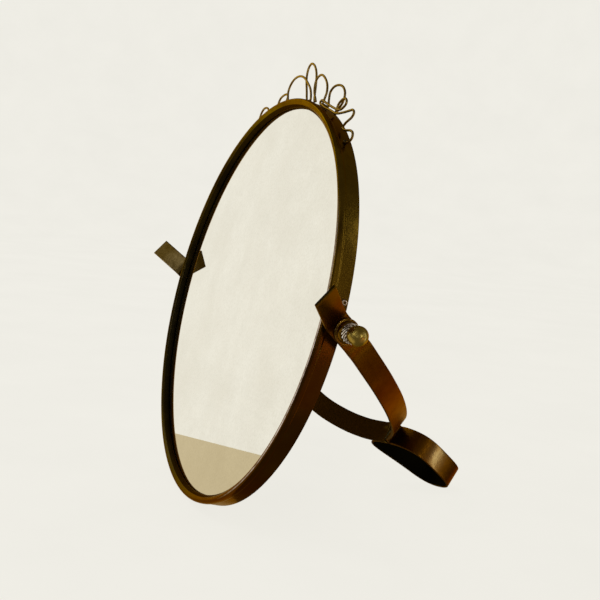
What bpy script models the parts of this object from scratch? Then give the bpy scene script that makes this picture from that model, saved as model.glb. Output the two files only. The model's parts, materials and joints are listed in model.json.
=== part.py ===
"""Round tilting mirror on a bent brass strap stand, crowned with a looped wire.

Everything is laid out in the mirror's own frame, in millimetres, and scaled to metres on creation:
  X  along the pivot axis, to the viewer's right
  Y  square to the glass, away from the viewer (the rim's front edge is at Y = 0)
  Z  up in the plane of the glass
One empty on the pivot axis, "pivot_frame", leans that frame back so the rim's lower edge and the
strap's rear loop both stand on world Z = 0. Every part's origin lies on the pivot axis.
"""
import math

import bpy
from mathutils import Vector

MM = 0.001
GAP = 0.3                       # air left between pieces that touch in use

# ---- rim, glass and back -------------------------------------------------------------------
RIM_R = 100.0                   # outer radius of the front bead
BAND_R = 99.7                   # outer radius of the band behind the bead
BORE_R = 98.5                   # inner radius of the band
LIP_R = 95.75                   # inner radius of the front lip
RIM_DEPTH = 9.8
EDGE = 0.3                      # chamfer of the band's rear corners
LIP_BACK = 3.4                  # rear face of the lip
DISC_R = BORE_R - GAP           # glass, card and back plate
GLASS = (LIP_BACK + GAP, LIP_BACK + GAP + 2.0)
CARD = (GLASS[1] + GAP, GLASS[1] + GAP + 0.6)
PLATE = (CARD[1] + GAP, CARD[1] + GAP + 0.7)
KEEPER_WIRE_R = 0.7
KEEPER_Y = PLATE[1] + GAP + KEEPER_WIRE_R
KEEPER_END_DEG = 13.0           # the keeper wires stop this far short of the brackets

# ---- pivots --------------------------------------------------------------------------------
PIVOT_Y, PIVOT_Z = 7.7, 1.8
SCREW_R = 1.2
RUNNING = 0.06                  # radial play of the screw in its holes
BRACKET_R = (95.2, DISC_R)
BRACKET_Y = (6.0, 9.4)
BRACKET_HALF_DEG = 9.2
NOTCH_X, NOTCH_HALF_Z = (93.0, 103.0), 17.5     # notch in card and plate that clears a bracket
RIVET_SHANK_R, RIVET_HEAD_R, RIVET_HEAD_H = 0.7, 1.4, 0.7
RIVET_OFFSET_Z = 10.4           # the rivet sits this far above the screw
SPACER_R = 3.0
SEAT_X = 107.0                  # the strap's middle surface where the screw passes
WASHER_R, BOSS_R = 5.3, 4.55    # flange of the domed washer and the boss standing on it
WASHER_T, WASHER_RISE = 1.0, 3.3
COLLAR_R, COLLAR_LEN = 4.0, 4.0
BALL_R = 4.0
BALL_X = 118.0

# ---- strap stand ---------------------------------------------------------------------------
STRAP_T = 1.2
STRAP_EDGE = 0.2                # chamfer of the strip's long edges
STRAP_W = ((-16.0, 10.5), (20.0, 10.5), (90.0, 11.0), (124.0, 11.45), (170.0, 11.45))     # (station, width)
STRAP_SLOPE = ((-20.0, 31.0), (20.0, 31.0), (116.0, 22.6), (128.0, 26.4))
STRAP_ORIGIN_Z = 6.2            # height of the strap's middle line above the disc centre at Y = 0
# half plan of an arm: (station along the strap's slope, distance from the mid-plane)
ARM = ((-16.0, 123.4), (-5.0, 113.9), (0.0, 109.7), (3.4, 107.35), (7.0, 107.0), (14.2, 106.9), (17.0, 106.2),
       (24.0, 104.2), (45.0, 93.4), (68.0, 74.8), (93.0, 44.8))
RIGHT_TIP, LEFT_TIP = -14.0, -11.9      # the two free ends were cut to different lengths
NECK_T = 120.8                  # station of the neck, where the two arms meet
NECK_X = 1.3                    # middle surface to mid-plane at the neck
NECK_BEND = 1.9                 # bend radius of the middle surface
NECK_IN_DEG = -54.5             # heading of an arm as it enters the neck bend
# the rear loop lies in a plane of its own, tipped and rolled as the hand-bent strip left it
LOOP_T = 122.4                  # station where the loop begins
LOOP_PITCH_DEG, LOOP_ROLL_DEG = 26.4, -9.75
LOOP_DROP = 0.63
LOOP_HALF_LEN, LOOP_SKEW = 19.9, 2.1
LOOP_START_X = 1.3
LOOP_RIGHT, LOOP_LEFT = (23.1, 0.12, 0.185), (22.0, 0.45, 0.26)    # half width, egg, squareness
# the left arm dips and draws in before the neck: (station, drop across the strip)
LEFT_SAG = ((55.0, 0.0), (65.0, 0.1), (75.0, 1.9), (85.0, 7.5), (95.0, 9.9), (105.0, 9.0), (113.0, 6.2),
            (119.0, 2.2), (122.5, 0.0), (125.0, 0.0))
LEFT_DRAW_IN, LEFT_DRAW_FROM = 10.0, 9.0

# ---- wire crown ----------------------------------------------------------------------------
WIRE_R = 0.55
CROWN_Y = 7.0
CROSSING = 0.75                 # half the spacing of wires that cross
CROWN_BASE_R = BAND_R + GAP + WIRE_R
# the wire's run as (degrees from the top, radius or 0 for on the band, crossings towards the back)
CROWN = ((-31.0, 0, -1), (-30.4, 106.5, -1), (-29.0, 110.8, -1), (-27.0, 111.8, -1), (-24.6, 109.2, -1),
         (-23.2, 104.6, -1), (-22.6, 0, -1),
         (-21.0, 0, 1), (-19.6, 107.0, 1), (-18.4, 110.0, 1), (-16.2, 110.4, 1), (-14.2, 109.5, 1),
         (-13.4, 107.2, 1), (-14.6, 103.6, 1), (-15.0, 0, 1),
         (-10.2, 0, -1), (-10.8, 104.2, -1), (-11.7, 108.7, -1), (-11.0, 112.2, -1), (-9.1, 114.4, -1),
         (-6.2, 114.6, -1), (-2.9, 112.8, -1), (0.7, 109.2, -1), (3.9, 105.5, -1), (6.0, 0, -1),
         (1.6, 0, 1), (-0.7, 105.9, 1), (-3.0, 112.5, 1), (-3.5, 117.8, 1), (-2.3, 120.2, 1),
         (0.0, 118.6, 1), (2.4, 114.5, 1), (4.4, 108.4, 1), (5.8, 103.2, 1), (6.9, 0, 1),
         (9.9, 0, -1), (6.9, 104.6, -1), (5.6, 109.4, -1), (6.4, 112.1, -1), (8.1, 113.1, -1),
         (10.6, 112.1, -1), (13.4, 109.6, -1), (15.0, 106.3, -1), (15.2, 103.0, -1), (15.6, 0, -1),
         (17.4, 0, 1), (16.2, 103.4, 1), (15.2, 106.8, 1), (16.3, 109.9, 1), (18.8, 111.8, 1),
         (21.5, 112.2, 1), (23.8, 110.7, 1), (24.8, 107.5, 1), (24.4, 103.9, 1), (24.2, 0, 0.6),
         (25.4, 102.4, -1), (24.9, 105.6, -1), (25.8, 108.6, -1), (27.3, 110.2, -1), (28.5, 109.6, -1),
         (28.5, 107.5, -1), (27.1, 104.4, -1.4), (23.7, 103.0, -2.6), (19.3, 102.4, -3),
         (16.8, 102.5, -3.3), (16.0, 101.5, -3.5), (16.8, 0, -3.7), (20.4, 0, -3.7), (24.3, 101.6, -3.5),
         (27.8, 102.8, -3), (30.3, 105.7, -2), (32.1, 108.7, -1), (33.5, 110.6, -1), (34.7, 110.4, -1),
         (34.8, 108.1, -1), (33.5, 103.8, -1), (33.4, 101.2, -1), (35.4, 102.2, -1), (37.8, 105.0, -1),
         (39.4, 105.8, -1), (40.4, 104.5, -1), (40.2, 102.0, -1), (39.4, 0, -1))


# ---- scene helpers -------------------------------------------------------------------------
for old in list(bpy.data.objects):
    bpy.data.objects.remove(old, do_unlink=True)
parts = bpy.data.collections.new("tilting_mirror")
cutters = bpy.data.collections.new("cutters")
bpy.context.scene.collection.children.link(parts)
bpy.context.scene.collection.children.link(cutters)


def slope_and_rise():
    """Strap's middle line in the YZ plane, sampled every half millimetre of station."""
    step, y, z, out = 0.5, 0.0, 0.0, {}
    for sign in (1, -1):
        y = z = 0.0
        for i in range(0, 400):
            s = sign * i * step
            out[round(s * 2)] = (y, STRAP_ORIGIN_Z + z)
            a = math.radians(table(STRAP_SLOPE, s))
            y += sign * step * math.cos(a)
            z -= sign * step * math.sin(a)
    return out


def table(rows, s):
    """Straight-line interpolation in a short table of (position, value)."""
    if s <= rows[0][0]:
        return rows[0][1]
    for (a, va), (b, vb) in zip(rows, rows[1:]):
        if s <= b:
            return va + (vb - va) * (s - a) / (b - a)
    return rows[-1][1]


MIDLINE = slope_and_rise()


def strap_point(x, s, sag=0.0):
    """Mirror-frame position of the middle surface, and the unit vector along the strap's width."""
    lo = math.floor(s * 2)
    f = s * 2 - lo
    (y0, z0), (y1, z1) = MIDLINE[lo], MIDLINE[lo + 1]
    a = math.radians(table(STRAP_SLOPE, s))
    across = Vector((0.0, math.sin(a), math.cos(a)))
    return Vector((x, y0 + (y1 - y0) * f, z0 + (z1 - z0) * f)) - across * sag, across


def smooth(points, per_span):
    """Catmull-Rom curve through points of any dimension."""
    pts = [Vector(p) for p in points]
    pts = [2 * pts[0] - pts[1]] + pts + [2 * pts[-1] - pts[-2]]
    out = []
    for a, b, c, d in zip(pts, pts[1:], pts[2:], pts[3:]):
        for i in range(per_span):
            t = i / per_span
            out.append(0.5 * (2 * b + (c - a) * t + (2 * a - 5 * b + 4 * c - d) * t * t
                              + (3 * b - a - 3 * c + d) * t ** 3))
    return out + [pts[-2]]


def loop_axes():
    """Start of the rear loop's middle line, and its directions across, rearward and sideways."""
    pitch, roll = math.radians(LOOP_PITCH_DEG), math.radians(LOOP_ROLL_DEG)
    across = Vector((math.sin(roll), math.sin(pitch) * math.cos(roll), math.cos(pitch) * math.cos(roll)))
    sideways = (Vector((1.0, 0.0, 0.0)) - across * across.x).normalized()
    start = strap_point(0.0, LOOP_T)[0] - across * LOOP_DROP
    return start, across, across.cross(sideways), sideways


LOOP_START, LOOP_ACROSS, LOOP_REARWARD, LOOP_SIDEWAYS = loop_axes()


def loop_point(x, s):
    return LOOP_START + LOOP_SIDEWAYS * x + LOOP_REARWARD * (s - LOOP_T)


def loop_half(sign, steps=26):
    """Half of the loop's middle line as (station, x), from just past the neck to the far end."""
    half_w, egg, square = LOOP_RIGHT if sign > 0 else LOOP_LEFT
    rows = []
    for i in range(1, steps + 1):
        q = math.pi * (i + 1) / (steps + 1)
        width = half_w * math.sin(q) * (1 + egg * math.cos(q) + square * math.cos(2 * q))
        x = sign * (width + LOOP_START_X * (1 - q / math.pi)) + LOOP_SKEW * (1 - math.cos(q)) / 2
        rows.append((LOOP_T + LOOP_HALF_LEN * (1 - math.cos(q)), x))
    return rows


def loop_lower_corners():
    """Mirror-frame positions of the two chamfer corners along the loop's lower edge."""
    line = [loop_point(x, s) for s, x in loop_half(1) + loop_half(-1)[::-1]]
    out = []
    for before, here, after in zip(line, line[1:], line[2:]):
        outward = (after - before).cross(LOOP_ACROSS).normalized()
        half = table(STRAP_W, LOOP_T) / 2
        for side in (-1, 1):
            out.append(here - LOOP_ACROSS * half + outward * side * (STRAP_T / 2 - STRAP_EDGE))
            out.append(here - LOOP_ACROSS * (half - STRAP_EDGE) + outward * side * (STRAP_T / 2))
    return out


def leaned(y, z, angle):
    return Vector((0.0, y * math.cos(angle) + z * math.sin(angle), z * math.cos(angle) - y * math.sin(angle)))


# lean that puts the rim's rear lower corner and the loop's lowest corner on one level
RIM_LOW = (RIM_DEPTH - EDGE, -BAND_R)
LEAN = min(math.atan2(p.z - RIM_LOW[1], p.y - RIM_LOW[0]) for p in loop_lower_corners())
FLOOR = leaned(*RIM_LOW, LEAN).z
FOOTPRINT_MID_Y = 56.41         # middle of the whole part, front to back, in the leaned frame
PIVOT = leaned(PIVOT_Y, PIVOT_Z, LEAN)

frame = bpy.data.objects.new("pivot_frame", None)
frame.empty_display_size = 10 * MM
frame.location = (PIVOT - Vector((0, FOOTPRINT_MID_Y, FLOOR))) * MM
frame.rotation_euler = (-LEAN, 0.0, 0.0)
bpy.context.scene.collection.objects.link(frame)


def material(name, colour, roughness, metallic):
    mat = bpy.data.materials.new(name)
    mat.use_nodes = True
    bsdf = mat.node_tree.nodes["Principled BSDF"]
    bsdf.inputs["Base Color"].default_value = (*colour, 1.0)
    bsdf.inputs["Roughness"].default_value = roughness
    bsdf.inputs["Metallic"].default_value = metallic
    mat.diffuse_color = (*colour, 1.0)
    return mat


BAND_BRASS = material("band_brass", (0.22, 0.13, 0.03), 0.38, 1.0)
STRAP_BRASS = material("strap_brass", (0.20, 0.11, 0.02), 0.40, 1.0)
KNOB_BRASS = material("knob_brass", (0.42, 0.33, 0.13), 0.30, 1.0)
WIRE_BRASS = material("wire_brass", (0.35, 0.26, 0.10), 0.35, 1.0)
SOLDER = material("solder", (0.24, 0.19, 0.09), 0.50, 1.0)
SILVERED = material("silvered_glass", (0.85, 0.85, 0.82), 0.02, 1.0)
CARDBOARD = material("card", (0.33, 0.25, 0.16), 0.90, 0.0)
PLATE_METAL = material("plate_brass", (0.30, 0.21, 0.08), 0.45, 1.0)


def add(name, data, mat, at=(0, 0, 0), turn=(0, 0, 0), where=parts):
    """Link an object under pivot_frame; at is a mirror-frame position in millimetres."""
    ob = bpy.data.objects.new(name, data)
    where.objects.link(ob)
    ob.parent = frame
    ob.location = (Vector(at) - Vector((0, PIVOT_Y, PIVOT_Z))) * MM
    ob.rotation_euler = turn
    if mat:
        data.materials.append(mat)
    if where is cutters:
        ob.hide_render = True
        ob.display_type = "WIRE"
    return ob


FACING_FRONT = (math.radians(90), 0, 0)         # local +Z towards the viewer
FACING_RIGHT = (0, math.radians(90), 0)         # local +Z to the viewer's right
FACING_LEFT = (0, math.radians(-90), 0)


def turned(name, profile, mat, at, turn, steps=64, where=parts):
    """Solid of revolution; profile is a closed ring of (radius, height) that runs down outside."""
    mesh = bpy.data.meshes.new(name)
    verts = [(r * MM, 0, h * MM) for r, h in profile]
    on_axis = profile[0][0] == 0 and profile[-1][0] == 0
    edges = [(i, i + 1) for i in range(len(verts) - 1)]
    if not on_axis:
        edges.append((len(verts) - 1, 0))
    mesh.from_pydata(verts, edges, [])
    ob = add(name, mesh, mat, at, turn, where)
    spin = ob.modifiers.new("spin", "SCREW")
    spin.steps = spin.render_steps = steps
    spin.use_merge_vertices = True
    spin.merge_threshold = 0.00001
    spin.use_smooth_shade = True
    return ob


def disc(name, y_range, mat, front_flat_r=DISC_R - 0.15, back_flat_r=DISC_R - 0.15):
    """Round plate whose faces are flat out to the given radii and fall away a little beyond them."""
    front, back = -y_range[0], -y_range[1]
    ring = [(0, front), (front_flat_r, front), (DISC_R, front - 0.15), (DISC_R, back + 0.15),
            (back_flat_r, back), (0, back)]
    return turned(name, ring, mat, (0, 0, 0), FACING_FRONT, 96)


def box(name, centre, size, where=cutters):
    mesh = bpy.data.meshes.new(name)
    hx, hy, hz = (v * MM / 2 for v in size)
    corners = [(x, y, z) for x in (-hx, hx) for y in (-hy, hy) for z in (-hz, hz)]
    faces = [(0, 1, 3, 2), (4, 6, 7, 5), (0, 4, 5, 1), (2, 3, 7, 6), (0, 2, 6, 4), (1, 5, 7, 3)]
    mesh.from_pydata(corners, [], faces)
    return add(name, mesh, None, centre, (0, 0, 0), where)


def cut(ob, cutter):
    mod = ob.modifiers.new("cut_" + cutter.name, "BOOLEAN")
    mod.operation = "DIFFERENCE"
    mod.solver = "EXACT"
    mod.object = cutter
    return mod


def wire(name, points, radius, mat):
    """Round wire through mirror-frame points."""
    curve = bpy.data.curves.new(name, "CURVE")
    curve.dimensions = "3D"
    curve.bevel_depth = radius * MM
    curve.bevel_resolution = 2
    curve.use_fill_caps = True
    line = curve.splines.new("POLY")
    line.points.add(len(points) - 1)
    origin = Vector((0, PIVOT_Y, PIVOT_Z))
    for dst, src in zip(line.points, points):
        dst.co = (*((Vector(src) - origin) * MM), 1.0)
    line.use_smooth = True
    return add(name, curve, mat, origin)


def on_rim(angle_deg, radius, y):
    """Point at an angle measured from the top of the rim towards the viewer's right."""
    a = math.radians(angle_deg)
    return Vector((radius * math.sin(a), y, radius * math.cos(a)))


# ---- rim, glass, card, back plate, keeper wires ----------------------------------------------
def rim_band():
    lip = [(LIP_R, -LIP_BACK), (LIP_R, -2.45), (96.2, -1.7), (96.9, -0.95), (97.8, -0.3),
           (98.7, 0.0), (99.4, -0.25), (99.85, -0.85), (RIM_R, -1.7), (RIM_R, -2.9),
           (BAND_R, -3.4), (BAND_R, EDGE - RIM_DEPTH), (BAND_R - EDGE, -RIM_DEPTH),
           (BORE_R + EDGE, -RIM_DEPTH), (BORE_R, EDGE - RIM_DEPTH), (BORE_R, -LIP_BACK)]
    return turned("rim_band", lip, BAND_BRASS, (0, 0, 0), FACING_FRONT, 128)


rim = rim_band()
disc("mirror_glass", GLASS, SILVERED, front_flat_r=LIP_R - 0.4)
card = disc("backing_card", CARD, CARDBOARD)
plate = disc("back_plate", PLATE, PLATE_METAL, back_flat_r=DISC_R - 2 * KEEPER_WIRE_R - 0.6)
for side, sign in (("right", 1), ("left", -1)):
    notch = box("notch_" + side, (sign * sum(NOTCH_X) / 2, PLATE[0], PIVOT_Z),
                (NOTCH_X[1] - NOTCH_X[0], 2 * (PLATE[1] - CARD[0]), 2 * NOTCH_HALF_Z))
    cut(card, notch)
    cut(plate, notch)
for half, mid in (("upper", 0.0), ("lower", 180.0)):
    reach = 90.0 - KEEPER_END_DEG
    angles = [mid - reach + 2 * reach * i / 44 for i in range(45)]
    wire("keeper_wire_" + half, [on_rim(a, DISC_R - KEEPER_WIRE_R, KEEPER_Y) for a in angles],
         KEEPER_WIRE_R, PLATE_METAL)


# ---- pivots --------------------------------------------------------------------------------
def bracket(side, sign):
    """Curved block inside the band that carries the screw's thread."""
    outline = [(BRACKET_R[1], -BRACKET_Y[0]), (BRACKET_R[1], -BRACKET_Y[1]),
               (BRACKET_R[0], -BRACKET_Y[1]), (BRACKET_R[0], -BRACKET_Y[0])]
    mesh = bpy.data.meshes.new("pivot_bracket_" + side)
    mid = math.asin(PIVOT_Z / BRACKET_R[1])
    steps, half = 16, math.radians(BRACKET_HALF_DEG)
    verts, faces = [], []
    for i in range(steps + 1):
        a = mid - half + 2 * half * i / steps
        for r, h in outline:
            verts.append((sign * r * math.cos(a) * MM, -h * MM, r * math.sin(a) * MM))
    for i in range(steps):
        for k in range(4):
            a, b = 4 * i + k, 4 * i + (k + 1) % 4
            quad = (a, b, b + 4, a + 4)
            faces.append(quad if sign > 0 else quad[::-1])
    ends = [(3, 2, 1, 0), tuple(4 * steps + k for k in range(4))]
    faces += ends if sign > 0 else [f[::-1] for f in ends]
    mesh.from_pydata(verts, [], faces)
    return add("pivot_bracket_" + side, mesh, PLATE_METAL)


def pin_cutter(name, radius, at, turn, half_len):
    ring = [(0, half_len), (radius, half_len), (radius, -half_len), (0, -half_len)]
    return turned(name, ring, None, at, turn, 24, cutters)


def pivot_hardware(side, sign):
    outward = FACING_RIGHT if sign > 0 else FACING_LEFT
    axis = lambda x: (sign * x, PIVOT_Y, PIVOT_Z)
    block = bracket(side, sign)
    bore = pin_cutter("screw_bore_" + side, SCREW_R + RUNNING, axis(100.0), outward, 9.0)
    cut(block, bore)
    cut(rim, bore)
    tilt = math.asin((PIVOT_Z + RIVET_OFFSET_Z) / BAND_R)
    turn = (0, math.radians(90) - tilt if sign > 0 else tilt - math.radians(90), 0)
    seat = Vector((sign * math.cos(tilt), 0, math.sin(tilt))) * BAND_R + Vector((0, PIVOT_Y, 0))
    hole = pin_cutter("rivet_bore_" + side, RIVET_SHANK_R + RUNNING, seat, turn, 6.0)
    cut(block, hole)
    cut(rim, hole)
    dome = [(0, GAP + RIVET_HEAD_H), (0.6, GAP + 0.92 * RIVET_HEAD_H), (1.1, GAP + 0.62 * RIVET_HEAD_H),
            (RIVET_HEAD_R, GAP + 0.15), (RIVET_HEAD_R - 0.1, GAP * 0.9), (RIVET_SHANK_R, GAP * 0.9),
            (RIVET_SHANK_R, -4.2), (0, -4.2)]
    turned("bracket_rivet_" + side, dome, KNOB_BRASS, seat, turn, 20)
    inner = BAND_R + GAP + 0.1
    outer = SEAT_X - STRAP_T / 2 - GAP
    bore_r = SCREW_R + RUNNING
    length, edge = outer - inner, 0.25
    sleeve = [(SPACER_R - edge, length), (SPACER_R, length - edge), (SPACER_R, edge),
              (SPACER_R - edge, 0), (bore_r, 0), (bore_r, length)]
    turned("spacer_sleeve_" + side, sleeve, KNOB_BRASS, axis(inner), outward, 32)
    base = SEAT_X + STRAP_T / 2 + GAP
    cup = [(BOSS_R - 1.1, WASHER_RISE), (BOSS_R - 0.4, WASHER_RISE - 0.5), (BOSS_R, WASHER_RISE - 1.3),
           (BOSS_R, WASHER_T), (WASHER_R - 0.25, WASHER_T), (WASHER_R, WASHER_T - 0.25), (WASHER_R, 0.25),
           (WASHER_R - 0.25, 0.0), (bore_r, 0.0), (bore_r, WASHER_RISE)]
    turned("cup_washer_" + side, cup, KNOB_BRASS, axis(base), outward, 40)
    seat_x = base + WASHER_RISE + GAP
    ring = [(COLLAR_R - 0.3, COLLAR_LEN), (COLLAR_R, COLLAR_LEN - 0.3), (COLLAR_R, 0.7),
            (COLLAR_R - 0.5, 0.0), (SCREW_R + GAP, 0.0), (SCREW_R + GAP, COLLAR_LEN)]
    turned("knurled_collar_" + side, ring, KNOB_BRASS, axis(seat_x), outward, 40)
    shoulder = seat_x + COLLAR_LEN + GAP
    start = math.asin((COLLAR_R - 0.5) / BALL_R)
    ball = [(BALL_R * math.sin(math.pi * k / 14), BALL_X + BALL_R * math.cos(math.pi * k / 14))
            for k in range(1, 14) if math.pi * k / 14 < math.pi - start]
    screw = [(0, BALL_X + BALL_R)] + ball + [(COLLAR_R - 0.5, BALL_X - BALL_R * math.cos(start)),
                                             (COLLAR_R - 0.6, shoulder), (SCREW_R, shoulder),
                                             (SCREW_R, BRACKET_R[0] + 0.2), (0, BRACKET_R[0] + 0.2)]
    turned("thumb_screw_" + side, [(r, h - SEAT_X) for r, h in screw], KNOB_BRASS, axis(SEAT_X), outward, 32)


for side, sign in (("right", 1), ("left", -1)):
    pivot_hardware(side, sign)


# ---- strap stand ---------------------------------------------------------------------------
def arm_half(tip):
    """Plan of one arm from its free end to the neck bend, as (station, distance from the mid-plane)."""
    bend = math.radians(NECK_IN_DEG)
    entry = (NECK_T + NECK_BEND * math.sin(bend), NECK_X + NECK_BEND * (1 - math.cos(bend)))
    rows = smooth(ARM + (entry,), 8)
    rows = [r for r in rows if r[0] > tip]
    first = table(ARM, tip)
    return [Vector((tip, first))] + rows


def neck_bend():
    """Small bend at the neck as (station, offset, share of the way from arm to loop)."""
    steps, rows = 10, []
    for i in range(1, steps + 1):
        f = i / steps
        h = math.radians(NECK_IN_DEG + (90 - NECK_IN_DEG) * f)
        rows.append((NECK_T + NECK_BEND * math.sin(h), NECK_X + NECK_BEND * (1 - math.cos(h)),
                     f * f * (3 - 2 * f)))
    return rows


def left_bend(s):
    """Sag and inward draw of the hand-bent left arm at a station."""
    f = min(1.0, max(0.0, (s - LEFT_DRAW_FROM) / (NECK_T + 1 - LEFT_DRAW_FROM)))
    return table(LEFT_SAG_CURVE, s), LEFT_DRAW_IN * math.sin(math.pi * f ** 1.4) ** 2


LEFT_SAG_CURVE = smooth(LEFT_SAG, 6)


def strap_half(sign, tip):
    """Middle line of one half of the strip as (position, width direction, station)."""
    path = []
    for s, x, share in [(s, x, 0.0) for s, x in arm_half(tip)] + neck_bend():
        sag, draw = left_bend(s) if sign < 0 else (0.0, 0.0)
        on_arm, arm_across = strap_point(sign * (x - draw), s, sag)
        spot = on_arm.lerp(loop_point(sign * x, s), share)
        path.append((spot, arm_across.lerp(LOOP_ACROSS, share).normalized(), s))
    return path + [(loop_point(x, s), LOOP_ACROSS, s) for s, x in loop_half(sign)]


def fork_strap():
    """One strip from the right free end, round the neck and the rear loop, to the left free end."""
    path = strap_half(1, RIGHT_TIP) + strap_half(-1, LEFT_TIP)[-2::-1]
    mesh = bpy.data.meshes.new("fork_strap")
    verts, faces = [], []
    for centre, across, s in path:
        half = table(STRAP_W, s) / 2
        for k in (-1, 1):
            p = centre + across * half * k - Vector((0, PIVOT_Y, PIVOT_Z))
            verts.append(tuple(p * MM))
    for i in range(len(path) - 1):
        faces.append((2 * i, 2 * i + 2, 2 * i + 3, 2 * i + 1))
    mesh.from_pydata(verts, [], faces)
    for poly in mesh.polygons:
        poly.use_smooth = True
    ob = add("fork_strap", mesh, STRAP_BRASS, (0, PIVOT_Y, PIVOT_Z))
    thick = ob.modifiers.new("thickness", "SOLIDIFY")
    thick.thickness = STRAP_T * MM
    thick.offset = 0.0
    thick.use_even_offset = True
    soft = ob.modifiers.new("soft_edges", "BEVEL")
    soft.width = STRAP_EDGE * MM
    soft.segments = 1
    soft.limit_method = "ANGLE"
    soft.angle_limit = math.radians(50)
    for side, sign in (("right", 1), ("left", -1)):
        turn = FACING_RIGHT if sign > 0 else FACING_LEFT
        cut(ob, pin_cutter("strap_bore_" + side, SCREW_R + RUNNING,
                           (sign * SEAT_X, PIVOT_Y, PIVOT_Z), turn, 5.0))
    return ob


fork_strap()


def neck_solder():
    """Web of solder between the two arms where they meet."""
    centre, across = strap_point(0.0, NECK_T)
    width = table(STRAP_W, NECK_T) + 0.6
    half = NECK_X - STRAP_T / 2 - GAP
    plan = [(-1.2, half + 0.02), (-0.4, half - 0.05), (0.3, half - 0.08), (0.9, half - 0.06)]
    outline = [(s, x) for s, x in plan] + [(s, -x) for s, x in reversed(plan)]
    mesh = bpy.data.meshes.new("neck_solder")
    along = Vector((0, across.z, -across.y))
    verts = []
    for k in (-0.5, 0.5):
        for s, x in outline:
            p = centre + along * s + Vector((x, 0, 0)) + across * width * k - Vector((0, PIVOT_Y, PIVOT_Z))
            verts.append(tuple(p * MM))
    n = len(outline)
    faces = [tuple(range(n - 1, -1, -1)), tuple(range(n, 2 * n))]
    faces += [(i, (i + 1) % n, (i + 1) % n + n, i + n) for i in range(n)]
    mesh.from_pydata(verts, [], faces)
    return add("neck_solder", mesh, SOLDER, (0, PIVOT_Y, PIVOT_Z))


neck_solder()


# ---- wire crown ----------------------------------------------------------------------------
def crown_path():
    rows = [(a, r or CROWN_BASE_R, CROWN_Y + side * CROSSING) for a, r, side in CROWN]
    return [on_rim(a, max(r, CROWN_BASE_R), y) for a, r, y in smooth(rows, 4)]


crown = crown_path()
wire("crown_wire", crown, WIRE_R, WIRE_BRASS)
for name, tip, before in (("left", crown[0], crown[1]), ("right", crown[-1], crown[-2])):
    away = (tip - before).normalized()
    away = Vector((away.x, 0, 0)).normalized() if abs(away.x) > 0.1 else Vector((1, 0, 0))
    spot = tip + away * (GAP + 1.2)
    radial = Vector((spot.x, 0, spot.z)).normalized()
    spot = radial * (BAND_R + GAP) + Vector((0, spot.y, 0))
    angle = math.atan2(radial.x, radial.z)
    dome = [(0, 0.8), (0.45, 0.72), (0.8, 0.45), (1.0, 0.1), (1.0, 0.0), (0, 0.0)]
    turned("crown_solder_" + name, dome, SOLDER, spot, (0, angle, 0), 24)
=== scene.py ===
import json
import math

import bpy
from mathutils import Matrix, Vector, noise


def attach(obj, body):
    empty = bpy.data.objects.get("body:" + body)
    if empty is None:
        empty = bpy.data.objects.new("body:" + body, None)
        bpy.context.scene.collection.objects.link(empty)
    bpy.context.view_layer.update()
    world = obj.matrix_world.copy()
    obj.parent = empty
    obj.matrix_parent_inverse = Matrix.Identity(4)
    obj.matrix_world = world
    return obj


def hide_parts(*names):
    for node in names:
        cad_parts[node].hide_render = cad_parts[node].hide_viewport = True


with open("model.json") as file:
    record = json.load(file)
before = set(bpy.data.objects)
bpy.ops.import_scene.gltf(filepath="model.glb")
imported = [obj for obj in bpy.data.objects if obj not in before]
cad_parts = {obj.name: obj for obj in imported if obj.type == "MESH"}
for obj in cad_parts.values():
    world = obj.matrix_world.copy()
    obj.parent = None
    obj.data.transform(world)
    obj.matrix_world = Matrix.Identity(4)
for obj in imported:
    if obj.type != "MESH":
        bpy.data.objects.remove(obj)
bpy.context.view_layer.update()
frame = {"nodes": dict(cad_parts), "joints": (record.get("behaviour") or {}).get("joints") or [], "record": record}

MM = 0.001

# ---- the mirror's own frame ------------------------------------------------------------------
# X along the pivot axis, Y square to the glass and away from the viewer, Z up in the glass, in mm.
JOINTS = {j["name"]: j for j in frame["joints"]}
MOUNTS = {m["name"]: m for m in frame["record"]["mounts"]}
PIVOT = Vector(JOINTS["mirror_tilt"]["pos_m"])
OUT_OF_GLASS = Vector(MOUNTS["glass_front"]["axis"])
LEAN = math.atan2(OUT_OF_GLASS.z, -OUT_OF_GLASS.y)
PIVOT_Y, PIVOT_Z = 7.7, 1.8
TO_ROW = (Matrix.Translation(PIVOT) @ Matrix.Rotation(-LEAN, 4, "X") @ Matrix.Scale(MM, 4)
          @ Matrix.Translation((0, -PIVOT_Y, -PIVOT_Z)))

# ---- sizes, in mm, the same as the CAD's --------------------------------------------------------
GAP = 0.3                                           # air left between pieces that touch in use
RIM_R, BAND_R, BORE_R, LIP_R = 100.0, 99.7, 98.5, 95.75                 # front bead, band, bore, lip
RIM_DEPTH, LIP_BACK, DISC_R = 9.8, 3.4, 98.2
GLASS_Y = (3.7, 5.7)
KEEPER_R, KEEPER_Y, KEEPER_END_DEG = 0.7, 8.6, 13.0
SCREW_R, SCREW_PLAY, SPACER_R = 1.2, 0.06, 3.0
SEAT_X = 107.0                                      # the strap's middle surface where the screw passes
BRACKET_R, BRACKET_Y, BRACKET_HALF_DEG = (95.2, 98.2), (6.0, 9.4), 9.2
RIVET_OFFSET_Z, RIVET_HEAD_R, RIVET_HEAD_H = 10.4, 1.4, 0.7
WASHER_R, BOSS_R, WASHER_T, WASHER_RISE = 5.3, 4.55, 1.0, 3.3
COLLAR_R, COLLAR_LEN = 4.0, 4.0
BALL_R, BALL_X = 4.0, 118.0
STRAP_T = 1.2
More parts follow.
